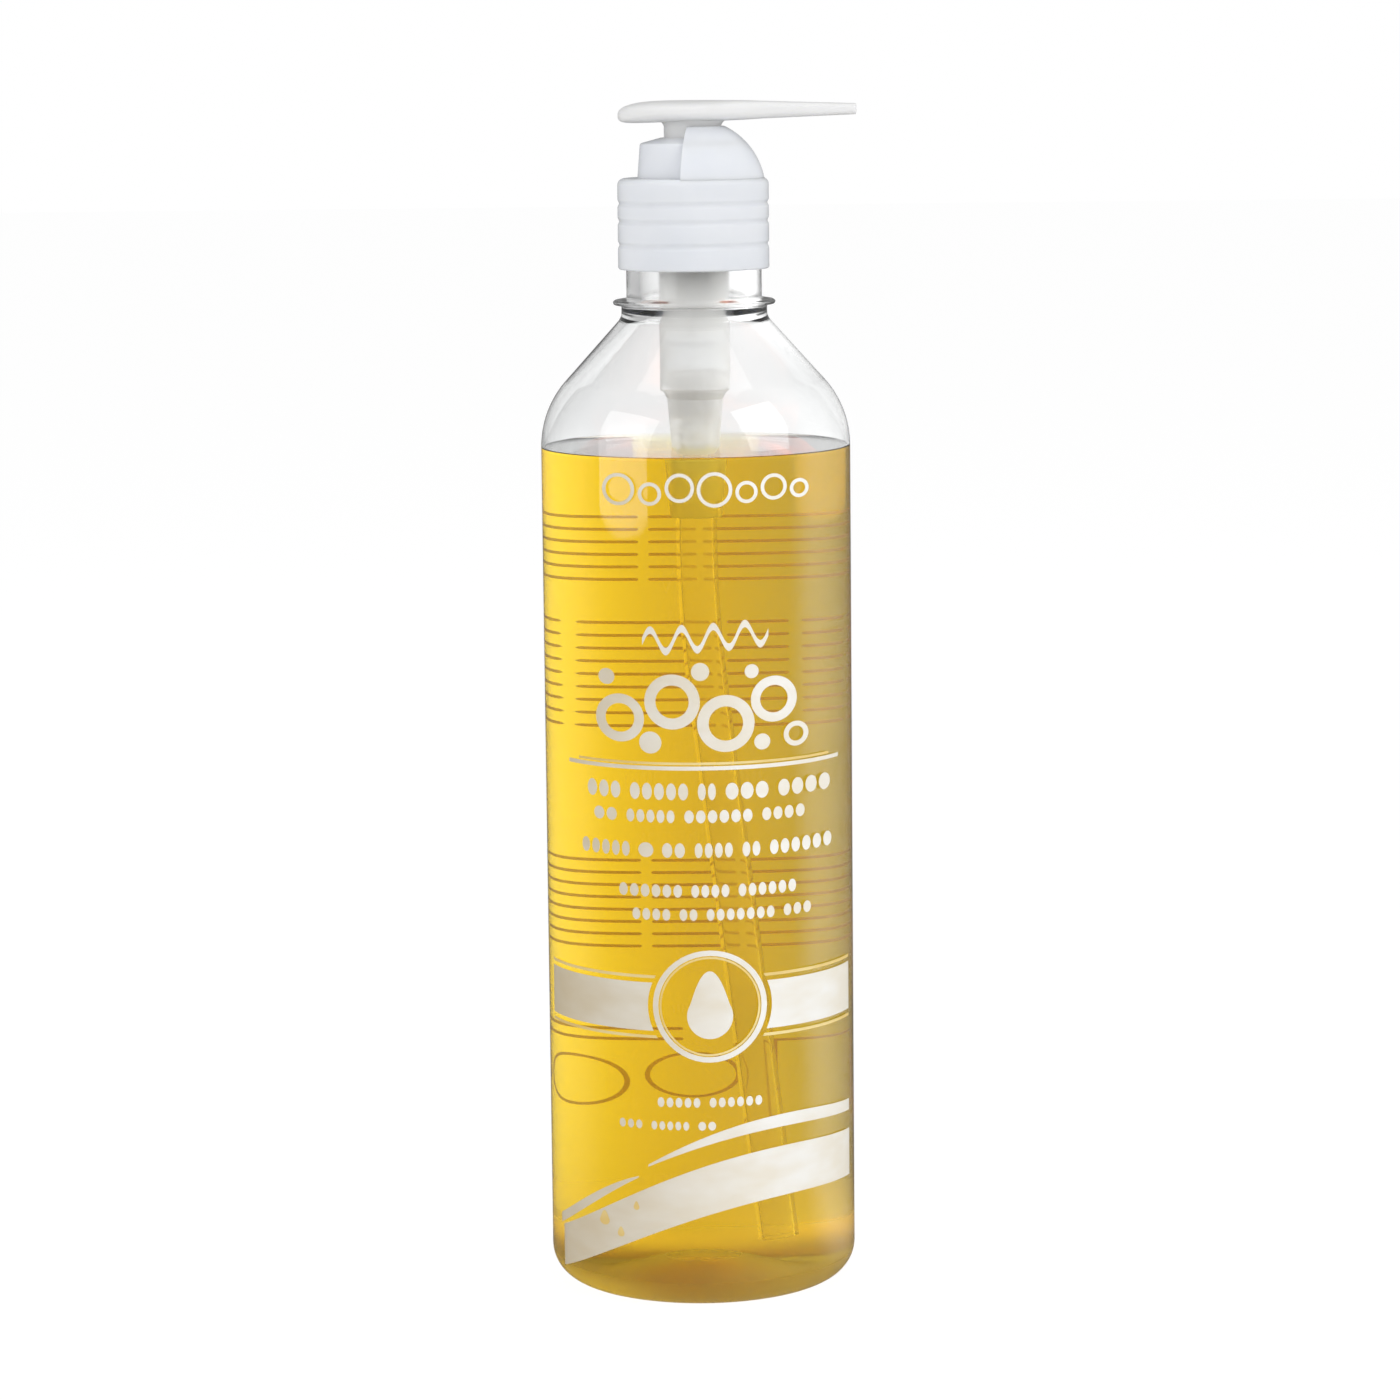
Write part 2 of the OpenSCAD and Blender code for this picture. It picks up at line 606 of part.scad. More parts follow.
// Pump head: pad, nozzle and boss, with the socket for the stem and the channel to the tip
module pump_head() {
    sides = 32;
    mid_z = head_z + pad_t / 2;
    wide_x = -1;
    tip_half_w = 2.2;
    tip_half_h = 1.1;
    root_half_h = 1.9;
    channel_r = 1.15;
    outlet_r = 0.7;
    nozzle_root = pad_front - 4;
    back = [for (i = [0:12]) let (u = 0.985 * cos(90 * i / 12))
        oval(wide_x - (pad_back + wide_x) * u, pad_half_w * pow(1 - pow(u, 2.4), 1 / 2.4), mid_z - 0.8 * pow(u, 3),
            pad_t / 2 * pow(1 - pow(u, 5), 1 / 3), sides, 2.6)];
    front = [for (i = [1:12]) let (u = i / 12, s = u * u * (3 - 2 * u), w = nozzle_half_w + 0.6)
        oval(wide_x + (pad_front - wide_x) * u, pad_half_w + (w - pad_half_w) * s, mid_z + 0.25 * s,
            pad_t / 2 + 0.1 * s, sides, 2.6)];
    nozzle = [for (i = [0:12]) let (u = i / 12, end = u > 0.93 ? 0.88 : 1)
        oval(nozzle_root + (nozzle_reach - nozzle_root) * u, end * (nozzle_half_w + (tip_half_w - nozzle_half_w) * u),
            mid_z + 0.1 - 0.1 * u, end * (root_half_h + (tip_half_h - root_half_h) * u), sides, 3)];
    color(pump_white) difference() {
        union() {
            loft(concat(back, front), sides);
            loft(nozzle, sides);
            translate([0, 0, boss_z]) cylinder(r = boss_r, h = boss_h + pad_t / 2);
        }
        translate([0, 0, boss_z - 1]) cylinder(r = stem_r + 0.02, h = stem_top + touch_gap - boss_z + 1);
        translate([0, 0, stem_top - 1]) cylinder(r = channel_r, h = mid_z - stem_top + 1);
        translate([0, 0, mid_z]) rotate([0, 90, 0]) cylinder(r = channel_r, h = nozzle_reach - 3);
        translate([0, 0, mid_z]) rotate([0, 90, 0]) cylinder(r = outlet_r, h = nozzle_reach + 1);
    }
}

bottle();
liquid_soap();
sleeve();
front_print();
back_print();
neck_gasket();
closure();
chaplet();
housing();
dip_tube();
inlet_ball();
return_spring();
piston();
stem();
outlet_ball();
pump_head();
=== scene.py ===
"""Looks of a clear bottle of golden liquid soap, its printed sleeve and its white screw-on pump.

Every shape is a surface worked out with numpy: a profile turned about the bottle's axis, a profile
swept along a path, or a flat pattern wrapped on the bottle's side. Shapes are worked out in
millimetres in the row's frame and become metres when the mesh is made.
"""

import bmesh
import bpy
import numpy as np
from mathutils import Matrix, Vector


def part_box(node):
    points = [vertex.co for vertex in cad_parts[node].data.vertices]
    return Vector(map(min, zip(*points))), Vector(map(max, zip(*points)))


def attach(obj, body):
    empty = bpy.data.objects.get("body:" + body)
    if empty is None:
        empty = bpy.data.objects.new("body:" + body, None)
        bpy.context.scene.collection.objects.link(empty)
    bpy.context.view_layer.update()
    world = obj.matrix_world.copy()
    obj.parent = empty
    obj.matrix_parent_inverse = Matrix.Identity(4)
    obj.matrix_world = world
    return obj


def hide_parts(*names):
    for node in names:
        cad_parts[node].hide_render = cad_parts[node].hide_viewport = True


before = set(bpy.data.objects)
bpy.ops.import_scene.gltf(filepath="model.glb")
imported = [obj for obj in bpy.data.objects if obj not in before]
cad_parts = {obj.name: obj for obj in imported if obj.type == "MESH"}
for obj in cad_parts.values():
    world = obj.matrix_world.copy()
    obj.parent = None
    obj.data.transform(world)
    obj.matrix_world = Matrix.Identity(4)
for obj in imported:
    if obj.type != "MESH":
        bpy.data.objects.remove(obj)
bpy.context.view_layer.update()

MM = 0.001
TURN = 2 * np.pi


def node_box(name):
    """Lowest and highest corner of a solid, in millimetres."""
    low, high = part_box(name)
    return np.array(low) / MM, np.array(high) / MM


# Sizes read from the solids
_, bottle_high = node_box("bottle")
_, sleeve_high = node_box("sleeve")
closure_low, closure_high = node_box("closure")
chaplet_low, chaplet_high = node_box("chaplet")
housing_low, housing_high = node_box("housing")
tube_low, tube_high = node_box("dip_tube")
stem_low, stem_high = node_box("stem")
piston_low, piston_high = node_box("piston")
head_low, head_high = node_box("pump_head")
_, soap_high = node_box("liquid_soap")

BODY_R = bottle_high[0]
LIP_Z = bottle_high[2]
SLEEVE_R = sleeve_high[0]
SLEEVE_TOP = sleeve_high[2]
SOAP_LEVEL = soap_high[2]
SKIRT_R = closure_high[0]
SKIRT_Z = closure_low[2]
FLANGE_TOP = housing_high[2]
HOUSING_FOOT = housing_low[2]
STEM_TOP = stem_high[2]
STEM_FOOT = stem_low[2]
CHAPLET_TOP = chaplet_high[2]
BOSS_Z = head_low[2]
PAD_BACK = -head_low[0]
PAD_HALF_W = head_high[1]
NOZZLE_TIP = head_high[0]

# Bottle's outline, as on the solid
WALL = 0.5
BASE_EDGE = 6.9
FOOT_W = 3.4
PUNT_H = 6.0
SIDE_TOP = 172.0
SHOULDER_R = 20.0
SHOULDER_LEAN = 42.0
NECK_CURVE = 3.0
BORE_R = 10.85
THREAD_ROOT_R = 12.75
COLLAR_R = 13.65
NECK_FOOT_R = 14.7
RING_REACH = 2.85
RING_Z = LIP_Z - 20.8
COLLAR_TOP = RING_Z + 7.5
THREAD_PITCH = 4.2

# Closure's heights, stacked on the housing's flange
DECK_Z = FLANGE_TOP + 1.09
DECK_TOP = DECK_Z + 1.2
DOME_Z = DECK_TOP - 2.9
DOME_R = SKIRT_R - 0.6
SKIRT_WALL = 1.2
TOWER_R = 10.6
TOWER_FOOT_R = 11.2
MOUTH_R = 6.15
DOME_HALF = 100.0
GROOVE_DROPS = (5.0, 8.6, 13.3)

# Head's heights
BOSS_R = 5.75
HEAD_Z = BOSS_Z + 10.0
PAD_T = 4.3
PAD_MID = HEAD_Z + PAD_T / 2


# Mesh making

def grid(points, wrap_rows=False, wrap_columns=False):
    """Quads over a (rows, columns, 3) array of points. A wrapped side joins its last line to its first."""
    rows, columns = points.shape[:2]
    index = np.arange(rows * columns).reshape(rows, columns)
    if wrap_rows:
        index = np.vstack([index, index[:1]])
    if wrap_columns:
        index = np.hstack([index, index[:, :1]])
    corners = [index[:-1, :-1], index[1:, :-1], index[1:, 1:], index[:-1, 1:]]
    return points.reshape(-1, 3), np.stack(corners, axis=-1).reshape(-1, 4)


def turned(profile, steps=160):
    """A closed profile of (radius, height) turned about Z: x = r cos a, y = r sin a, z = z."""
    profile = np.asarray(profile, float)
    angle = np.linspace(0, TURN, steps, endpoint=False)[:, None]
    r, z = profile[:, 0][None], profile[:, 1][None]
    points = np.stack([r * np.cos(angle), r * np.sin(angle), z + 0 * angle], axis=-1)
    return grid(points, wrap_rows=True, wrap_columns=True)


def sector(profile, start, end, steps):
    """A closed profile turned about Z from one angle to another, with both ends closed by a fan."""
    profile = np.asarray(profile, float)
    angle = np.radians(np.linspace(start, end, steps))[:, None]
    r, z = profile[:, 0][None], profile[:, 1][None]
    points = np.stack([r * np.cos(angle), r * np.sin(angle), z + 0 * angle], axis=-1)
    parts = [grid(points, wrap_columns=True)]
    for line in (points[0], points[-1]):
        middle = np.repeat(line.mean(axis=0)[None], len(line), axis=0)
        parts.append(grid(np.stack([line, middle]), wrap_columns=True))
    return parts


def joined(parts):
    """Several (points, quads) pairs as one pair."""
    offsets = np.cumsum([0] + [len(points) for points, _ in parts[:-1]])
    quads = [quads + offset for (_, quads), offset in zip(parts, offsets)]
    return np.concatenate([points for points, _ in parts]), np.concatenate(quads)


def make(name, parts, material, body, replaces=(), crease=35.0):
    """One piece from (points, quads) pairs in millimetres: seams and poles merged, faces turned
    outwards, smooth except across edges sharper than crease, in place on its body."""
    points, quads = joined(parts)
    mesh = bpy.data.meshes.new(name)
    mesh.vertices.add(len(points))
    mesh.vertices.foreach_set("co", (points * MM).astype(np.float32).ravel())
    mesh.loops.add(quads.size)
    mesh.loops.foreach_set("vertex_index", quads.astype(np.int32).ravel())
    mesh.polygons.add(len(quads))
    mesh.polygons.foreach_set("loop_start", np.arange(0, quads.size, 4, dtype=np.int32))
    mesh.update(calc_edges=True)
    work = bmesh.new()
    work.from_mesh(mesh)
    bmesh.ops.remove_doubles(work, verts=work.verts, dist=2e-6)
    bmesh.ops.recalc_face_normals(work, faces=work.faces)
    work.to_mesh(mesh)
    work.free()
    mesh.shade_smooth()
    mesh.set_sharp_from_angle(angle=np.radians(crease))
    mesh.materials.append(material)
    piece = bpy.data.objects.new(name, mesh)
    bpy.context.scene.collection.objects.link(piece)
    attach(piece, body)
    if replaces:
        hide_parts(*replaces)


def rounded(corners, steps=6):
    """A closed profile whose corners (r, z, radius) are cut by arcs: each arc touches both sides of its
    corner, a length radius / tan(half the corner's angle) away from it."""
    corners = [(np.array(c[:2], float), c[2]) for c in corners]
    line = []
    for i, (corner, radius) in enumerate(corners):
        if radius <= 0:
            line.append(corner)
            continue
        before = corners[i - 1][0] - corner
        after = corners[(i + 1) % len(corners)][0] - corner
        before, after = before / np.linalg.norm(before), after / np.linalg.norm(after)
        half = np.arccos(np.clip(before @ after, -1, 1)) / 2
        middle = corner + (before + after) / np.linalg.norm(before + after) * radius / np.sin(half)
        first, last = corner + before * radius / np.tan(half), corner + after * radius / np.tan(half)
        a, b = np.arctan2(*(first - middle)[::-1]), np.arctan2(*(last - middle)[::-1])
        sweep = (b - a + np.pi) % TURN - np.pi
        turn = a + sweep * np.linspace(0, 1, steps + 1)
        line.extend(middle + radius * np.stack([np.cos(turn), np.sin(turn)], axis=-1))
    return np.array(line)


def arc(r, z, radius, start, end, steps):
    """Points on an arc about (r, z), from one angle to another in degrees."""
    angle = np.radians(np.linspace(start, end, steps))
    return np.stack([r + radius * np.cos(angle), z + radius * np.sin(angle)], axis=-1)


# Materials

def new_material(name):
    """An empty material with its output; returns a function that adds a node with its inputs set."""
    material = bpy.data.materials.new(name)
    material.use_nodes = True
    tree = material.node_tree
    tree.nodes.clear()

    def add(kind, **inputs):
        node = tree.nodes.new(kind)
        for key, value in inputs.items():
            socket = node.inputs[key.replace("_", " ")]
            if isinstance(value, bpy.types.NodeSocket):
                tree.links.new(value, socket)
            else:
                socket.default_value = value
        return node

    return material, tree, add


def grain(tree, add, scale, strength, distance=0.0002, detail=4.0):
    """Bump from noise on Object coordinates."""
    where = add("ShaderNodeTexCoord")
    noise = add("ShaderNodeTexNoise", Vector=where.outputs["Object"], Scale=scale, Detail=detail)
    bump = add("ShaderNodeBump", Strength=strength, Distance=distance)
    tree.links.new(noise.outputs["Fac"], bump.inputs["Height"])
    return bump.outputs["Normal"], noise.outputs["Fac"]


def math_node(tree, operation, first, second):
    """Math node with each input a socket or a number."""
    node = tree.nodes.new("ShaderNodeMath")
    node.operation = operation
    for socket, value in zip(node.inputs, (first, second)):
        if isinstance(value, bpy.types.NodeSocket):
            tree.links.new(value, socket)
        else:
            socket.default_value = value
    return node.outputs[0]


def ranged(tree, value, from_low, from_high, to_low, to_high):
    """A socket's value carried from one range to another, held at both ends."""
    node = tree.nodes.new("ShaderNodeMapRange")
    tree.links.new(value, node.inputs["Value"])
    for key, number in (("From Min", from_low), ("From Max", from_high),
                        ("To Min", to_low), ("To Max", to_high)):
        node.inputs[key].default_value = number
    return node.outputs[0]


def clear_for_lamps(tree, add, shader):
    """Shader that glass shows, and a clear one for shadow rays, so that lamps reach what is inside."""
    path = add("ShaderNodeLightPath")
    clear = add("ShaderNodeBsdfTransparent")
    mix = tree.nodes.new("ShaderNodeMixShader")
    tree.links.new(path.outputs["Is Shadow Ray"], mix.inputs[0])
    tree.links.new(shader, mix.inputs[1])
    tree.links.new(clear.outputs[0], mix.inputs[2])
    return mix.outputs[0]


def blown_plastic():
    """Clear blown PET, with the slight waves of a blown wall, frosted at its base and hazy at its neck."""
    material, tree, add = new_material("blown_clear_plastic")
    normal, _ = grain(tree, add, 38.0, 0.25, 0.0004, 1.0)
    where = add("ShaderNodeTexCoord")
    split = add("ShaderNodeSeparateXYZ", Vector=where.outputs["Object"])
    frosted = []
    for start, end, haze in ((0.009, 0.004, 0.4), (RING_Z * MM - 0.003, RING_Z * MM, 0.14)):
        frosted.append(ranged(tree, split.outputs["Z"], start, end, 0.015, haze))
    surface = add("ShaderNodeBsdfPrincipled", Base_Color=(0.985, 0.99, 0.99, 1),
                  Roughness=math_node(tree, "MAXIMUM", *frosted), IOR=1.57, Transmission_Weight=1.0,
                  Normal=normal)
    add("ShaderNodeOutputMaterial", Surface=clear_for_lamps(tree, add, surface.outputs[0]))
    return material


def golden_soap():
    """Clear golden liquid: plain water-like surface over an absorbing volume."""
    material, tree, add = new_material("golden_soap")
    normal, _ = grain(tree, add, 60.0, 0.02, 0.0002, 1.0)
    surface = add("ShaderNodeBsdfPrincipled", Base_Color=(1, 1, 1, 1), Roughness=0.0, IOR=1.35,
                  Transmission_Weight=1.0, Normal=normal)
    volume = add("ShaderNodeVolumeAbsorption", Color=(0.981, 0.88, 0.025, 1), Density=80.0)
    add("ShaderNodeOutputMaterial", Surface=clear_for_lamps(tree, add, surface.outputs[0]),
        Volume=volume.outputs[0])
    return material


def clear_film():
    """Thin shrunk film, nearly unseen apart from its gloss."""
    material, tree, add = new_material("shrunk_clear_film")
    normal, _ = grain(tree, add, 25.0, 0.2, 0.0003, 1.0)
    surface = add("ShaderNodeBsdfPrincipled", Base_Color=(0.03, 0.03, 0.03, 1), Roughness=0.12,
                  IOR=1.5, Alpha=0.03, Normal=normal)
    add("ShaderNodeOutputMaterial", Surface=surface.outputs[0])
    return material


def milky_plastic(name, colour, cloud, roughness, depth):
    """Moulded milky plastic: light spreads under its surface, and its colour clouds slightly."""
    material, tree, add = new_material(name)
    normal, _ = grain(tree, add, 900.0, 0.06, 0.00005)
    where = add("ShaderNodeTexCoord")
    clouds = add("ShaderNodeTexNoise", Vector=where.outputs["Object"], Scale=70.0, Detail=3.0)
    ramp = add("ShaderNodeValToRGB", Fac=clouds.outputs["Fac"])
    ramp.color_ramp.elements[0].position, ramp.color_ramp.elements[0].color = 0.35, (*cloud, 1)
    ramp.color_ramp.elements[1].position, ramp.color_ramp.elements[1].color = 0.65, (*colour, 1)
    surface = add("ShaderNodeBsdfPrincipled", Base_Color=ramp.outputs["Color"], Roughness=roughness,
                  IOR=1.49, Subsurface_Weight=0.35, Subsurface_Radius=(depth, depth, 1.1 * depth),
                  Subsurface_Scale=1.0, Normal=normal)
    add("ShaderNodeOutputMaterial", Surface=surface.outputs[0])
    return material


def natural_plastic(name, colour, through, ior, satin=(0.25, 0.4)):
    """Unpigmented moulded plastic, half clear, with a satin surface."""
    material, tree, add = new_material(name)
    normal, fac = grain(tree, add, 300.0, 0.1, 0.0001)
    surface = add("ShaderNodeBsdfPrincipled", Base_Color=(*colour, 1),
                  Roughness=ranged(tree, fac, 0.0, 1.0, *satin), IOR=ior, Transmission_Weight=through,
                  Normal=normal)
    add("ShaderNodeOutputMaterial", Surface=clear_for_lamps(tree, add, surface.outputs[0]))
    return material


def printed_ink(name, colour, shade, amount, left_painted_shade, cover=1.0):
    """Printed ink whose film thins in patches, so that its colour drifts to the shade below it. Towards the
    left a painted shade is multiplied into its colour, standing in for the film there turning away from the
    light. Cover is how much of what is behind it the ink hides."""
    material, tree, add = new_material(name)
    normal, _ = grain(tree, add, 1500.0, 0.15, 0.00003)
    where = add("ShaderNodeTexCoord")
    stretch = add("ShaderNodeMapping", Vector=where.outputs["Object"], Scale=(55.0, 55.0, 130.0))
    patches = add("ShaderNodeTexNoise", Vector=stretch.outputs["Vector"], Scale=1.0, Detail=3.0)
    ramp = add("ShaderNodeValToRGB", Fac=patches.outputs["Fac"])
    ramp.color_ramp.elements[0].position, ramp.color_ramp.elements[0].color = 0.5 - amount, (*shade, 1)
    ramp.color_ramp.elements[1].position, ramp.color_ramp.elements[1].color = 0.62, (*colour, 1)
    split = add("ShaderNodeSeparateXYZ", Vector=where.outputs["Object"])
    # Share of the painted shade: full at the left and none towards the right, because light falls from the
    # right
    across = ranged(tree, split.outputs["X"], -0.03, 0.012, 1.0, 0.0)
    painted_shade_mix = tree.nodes.new("ShaderNodeMix")
    painted_shade_mix.data_type = "RGBA"
    painted_shade_mix.blend_type = "MULTIPLY"
    painted_shade_mix.inputs[7].default_value = (*left_painted_shade, 1)
    tree.links.new(across, painted_shade_mix.inputs[0])
    tree.links.new(ramp.outputs["Color"], painted_shade_mix.inputs[6])
    surface = add("ShaderNodeBsdfPrincipled", Base_Color=painted_shade_mix.outputs[2], Roughness=0.38,
                  IOR=1.48, Alpha=cover, Normal=normal)
    add("ShaderNodeOutputMaterial", Surface=surface.outputs[0])
    return material


def drawn_wire():
    """Drawn steel wire, finely lined along its run."""
    material, tree, add = new_material("drawn_wire")
    normal, _ = grain(tree, add, 2500.0, 0.2, 0.00003)
    surface = add("ShaderNodeBsdfPrincipled", Base_Color=(0.6, 0.6, 0.6, 1), Metallic=1.0,
                  Roughness=0.28, Normal=normal)
    add("ShaderNodeOutputMaterial", Surface=surface.outputs[0])
    return material


def ball_glass():
    """Clear glass of the valve balls."""
    material, tree, add = new_material("ball_glass")
    normal, _ = grain(tree, add, 400.0, 0.03, 0.00005)
    surface = add("ShaderNodeBsdfPrincipled", Base_Color=(0.96, 0.98, 0.98, 1), Roughness=0.02,
                  IOR=1.5, Transmission_Weight=1.0, Normal=normal)
    add("ShaderNodeOutputMaterial", Surface=clear_for_lamps(tree, add, surface.outputs[0]))
    return material


PET = blown_plastic()
SOAP = golden_soap()
FILM = clear_film()
PUMP_WHITE = milky_plastic("pump_white", (0.80, 0.82, 0.86), (0.76, 0.785, 0.83), 0.22, 0.0015)
HEAD_WHITE = milky_plastic("head_white", (0.82, 0.82, 0.82), (0.79, 0.79, 0.785), 0.3, 0.0025)
HOUSING = natural_plastic("housing_plastic", (0.89, 0.89, 0.88), 0.55, 1.2)
TUBE = natural_plastic("tube_plastic", (1.0, 1.0, 0.98), 0.9, 1.06, (0.08, 0.16))
STEM = natural_plastic("stem_plastic", (0.88, 0.88, 0.88), 0.3, 1.4)
# The last colour of each ink is its painted shade, multiplied in towards the left
INK = printed_ink("white_ink", (0.95, 0.94, 0.90), (0.88, 0.83, 0.72), 0.12, (0.62, 0.55, 0.43))
GOLD_INK = printed_ink("gold_ink", (0.92, 0.76, 0.36), (0.84, 0.62, 0.22), 0.1, (0.8, 0.76, 0.7))
BACK_INK = printed_ink("back_white_ink", (0.92, 0.90, 0.85), (0.86, 0.80, 0.66), 0.12, (0.9, 0.88, 0.8), 0.6)
WIRE = drawn_wire()
GLASS = ball_glass()
FOAM = milky_plastic("gasket_foam", (0.85, 0.85, 0.82), (0.8, 0.8, 0.78), 0.7, 0.001)


# Bottle and soap

def body_side(inset, steps=(14, 26, 8)):
    """Outer line of the body set in by inset: base edge arc, shoulder arc and neck curve."""
    cone_r = BODY_R - SHOULDER_R + SHOULDER_R * np.cos(np.radians(SHOULDER_LEAN))
    cone_z = SIDE_TOP + SHOULDER_R * np.sin(np.radians(SHOULDER_LEAN))
    curve_r = NECK_FOOT_R + NECK_CURVE
    lean = np.radians(SHOULDER_LEAN)
    curve_z = cone_z + (NECK_CURVE - (curve_r - cone_r) * np.cos(lean)) / np.sin(lean)
    side = np.stack([np.full(24, BODY_R - inset), np.linspace(BASE_EDGE, SIDE_TOP, 26)[1:-1]], axis=-1)
    return [arc(BODY_R - BASE_EDGE, BASE_EDGE, BASE_EDGE - inset, -90, 0, steps[0]), side,
            arc(BODY_R - SHOULDER_R, SIDE_TOP, SHOULDER_R - inset, 0, SHOULDER_LEAN, steps[1]),
            arc(curve_r, curve_z, NECK_CURVE + inset, 180 + SHOULDER_LEAN, 180, steps[2])]


def punt(inset, steps=24):
    """Hollow of the base from the axis out: z = inset + h (1 - u^2)^2 over the hollow's radius."""
    u = np.linspace(0, 1, steps)
    inner = BODY_R - BASE_EDGE - FOOT_W
    return np.stack([inner * u, inset + PUNT_H * (1 - u * u) ** 2], axis=-1)


def bottle_shell():
    """Bottle and neck as one closed profile turned about the axis, outside up and inside down."""
    ring_r = COLLAR_R + RING_REACH
    neck = rounded([
        (NECK_FOOT_R, RING_Z, 0.4), (ring_r - 0.3, RING_Z + 0.25, 0.2), (ring_r, RING_Z + 0.75, 0.28),
        (ring_r - 0.5, RING_Z + 1.15, 0.2), (COLLAR_R, RING_Z + 1.5, 0.35),
        (COLLAR_R, COLLAR_TOP, 0.3), (THREAD_ROOT_R, COLLAR_TOP + 0.9, 0.3),
        (THREAD_ROOT_R, LIP_Z, 0.4), (BORE_R, LIP_Z, 0.4), (BORE_R, RING_Z, 1.5),
        (NECK_FOOT_R, RING_Z - 6.0, 0.0)], 4)[:-1]
    inner = np.concatenate([punt(WALL)] + body_side(WALL)[:3])
    outer = np.concatenate([punt(0.0)] + body_side(0.0))
    profile = np.concatenate([outer, neck, [[BORE_R + 2.0, RING_Z - 3.0]], inner[::-1]])
    make("bottle_shell", [turned(profile, 192)], PET, "bottle", ("bottle",))


def thread_ridge(name, root_r, crest_r, first_z, turns, body, material):
    """Ridge of a right-hand thread: a trapezium carried along r = const, z = first + pitch a / turn,
    whose height fades over the last sixteenth of a turn at both ends."""
    angle = np.linspace(0, turns * TURN, int(turns * 96))
    fade = np.clip(np.minimum(angle, angle[-1] - angle) / (TURN / 16), 0.02, 1)
    section = np.array([[0.0, -1.0], [1.0, -0.45], [1.0, 0.45], [0.0, 1.0]])
    r = root_r + (crest_r - root_r) * section[None, :, 0] * fade[:, None]
    z = first_z + THREAD_PITCH * angle[:, None] / TURN + section[None, :, 1]
    around = angle[:, None]
    points = np.stack([r * np.cos(around), r * np.sin(around), z], axis=-1)
    ends = [grid(np.stack([line[:2], line[3:1:-1]])) for line in (points[0], points[-1])]
    make(name, [grid(points, wrap_columns=True)] + ends, material, body)


def soap_body():
    """Soap to its level, pressed a hair into the wall, its surface drawn up at the wall by a meniscus."""
    press = 0.06
    inset = WALL - press
    base, side, shoulder, _ = body_side(inset)
    reach = BODY_R - inset
    rise = 0.5
    r = reach * np.sin(np.linspace(np.pi / 2, 0, 60))
    top = np.stack([r, SOAP_LEVEL + rise * np.exp(-(reach - r) / 0.9)], axis=-1)
    side = side[side[:, 1] < SOAP_LEVEL]
    profile = np.concatenate([punt(inset), base, side, top])
    make("soap_body", [turned(profile, 192)], SOAP, "bottle", ("liquid_soap",), 50)


def clear_sleeve():
    """Film round the body, from low on the base edge up to its cut upper edge."""
    inner, outer = SLEEVE_R - BODY_R - 0.14, SLEEVE_R - BODY_R
    foot_r = BODY_R - BASE_EDGE
    profile = np.concatenate([
        arc(foot_r, BASE_EDGE, BASE_EDGE + outer, -50, 0, 12), [[BODY_R + outer, SLEEVE_TOP]],
        [[BODY_R + inner, SLEEVE_TOP]], arc(foot_r, BASE_EDGE, BASE_EDGE + inner, 0, -50, 12)])
    make("clear_sleeve", [turned(profile, 192)], FILM, "bottle", ("sleeve",))


# Print

INK_R = SLEEVE_R + 0.03
INK_T = 0.07


def wrapped(pattern, side, lift=0.0):
    """A (rows, columns, 2) pattern in x and z pressed on the front (-1) or back (1) of the body:
    y = side sqrt(R^2 - x^2). Returned as an outer skin and an inner skin."""
    x, z = pattern[..., 0], pattern[..., 1]
    return [np.stack([x, side * np.sqrt(np.maximum(radius ** 2 - x ** 2, 0)), z], axis=-1)
            for radius in (INK_R + INK_T + lift, INK_R + lift)]


def slab(pattern, side, ring=False, lift=0.0):
    """Closed thin slab of ink over a pattern; a ring pattern closes on itself along its rows."""
    outer, inner = wrapped(pattern, side, lift)
    around = np.concatenate([outer, inner[:, ::-1]], axis=1)
    parts = [grid(around, wrap_rows=ring, wrap_columns=True)]
    if not ring:
        parts += [grid(np.stack([outer[0], inner[0]])), grid(np.stack([outer[-1], inner[-1]]))]
    return parts


def level(height):
    """Straight curve z = height."""
    return lambda x: height + 0 * x


def between(x_low, x_high, low, high, side, steps=40, rows=3):
    """Ink between two curves z = low(x) and z = high(x)."""
    x = np.linspace(x_low, x_high, steps)[:, None]
    v = np.linspace(0, 1, rows)[None]
    z = low(x) + (high(x) - low(x)) * v
    return slab(np.stack([x + 0 * v, z], axis=-1), side)


def bar(x, z, width, height, side):
    """Ink bar with round ends, centred on (x, z)."""
    end = min(height, width) / 2
    turn = np.linspace(0, np.pi / 2, 6)
    left = -width / 2 + end * (1 - np.cos(turn))
    along = np.concatenate([left, np.linspace(left[-1], -left[-1], max(2, int(width)))[1:-1], -left[::-1]])
    reach = np.clip(1 - (np.maximum(np.abs(along) - (width / 2 - end), 0) / end) ** 2, 0, 1) ** 0.5
    half = height / 2 * np.maximum(reach, 0.03)
    v = np.linspace(-1, 1, 3)[None]
    return slab(np.stack([x + along[:, None] + 0 * v, z + half[:, None] * v], axis=-1), side)


def bar_row(z, height, widths, gap, side, split=0.0, middle=0.0):
    """A row of bars about a middle; with a split, each bar becomes blocks of about that width."""
    total = sum(widths) + gap * (len(widths) - 1)
    x = middle - total / 2
    parts = []
    for width in widths:
        count = max(1, round(width / split)) if split else 1
        step = width / count
        for i in range(count):
            block = step - (0.45 if count > 1 else 0.0)
            parts += bar(x + step * (i + 0.5), z, block, height, side)
        x += width + gap
    return parts


def ink_ring(x, z, radius, line, side):
    """Ring of ink; a line as wide as the radius fills it."""
    angle = np.linspace(0, TURN, 48, endpoint=False)[:, None]
    r = np.linspace(radius - line, radius, 3 if line < radius else 8)[None]
    return slab(np.stack([x + r * np.cos(angle), z + r * np.sin(angle)], axis=-1), side, ring=True)


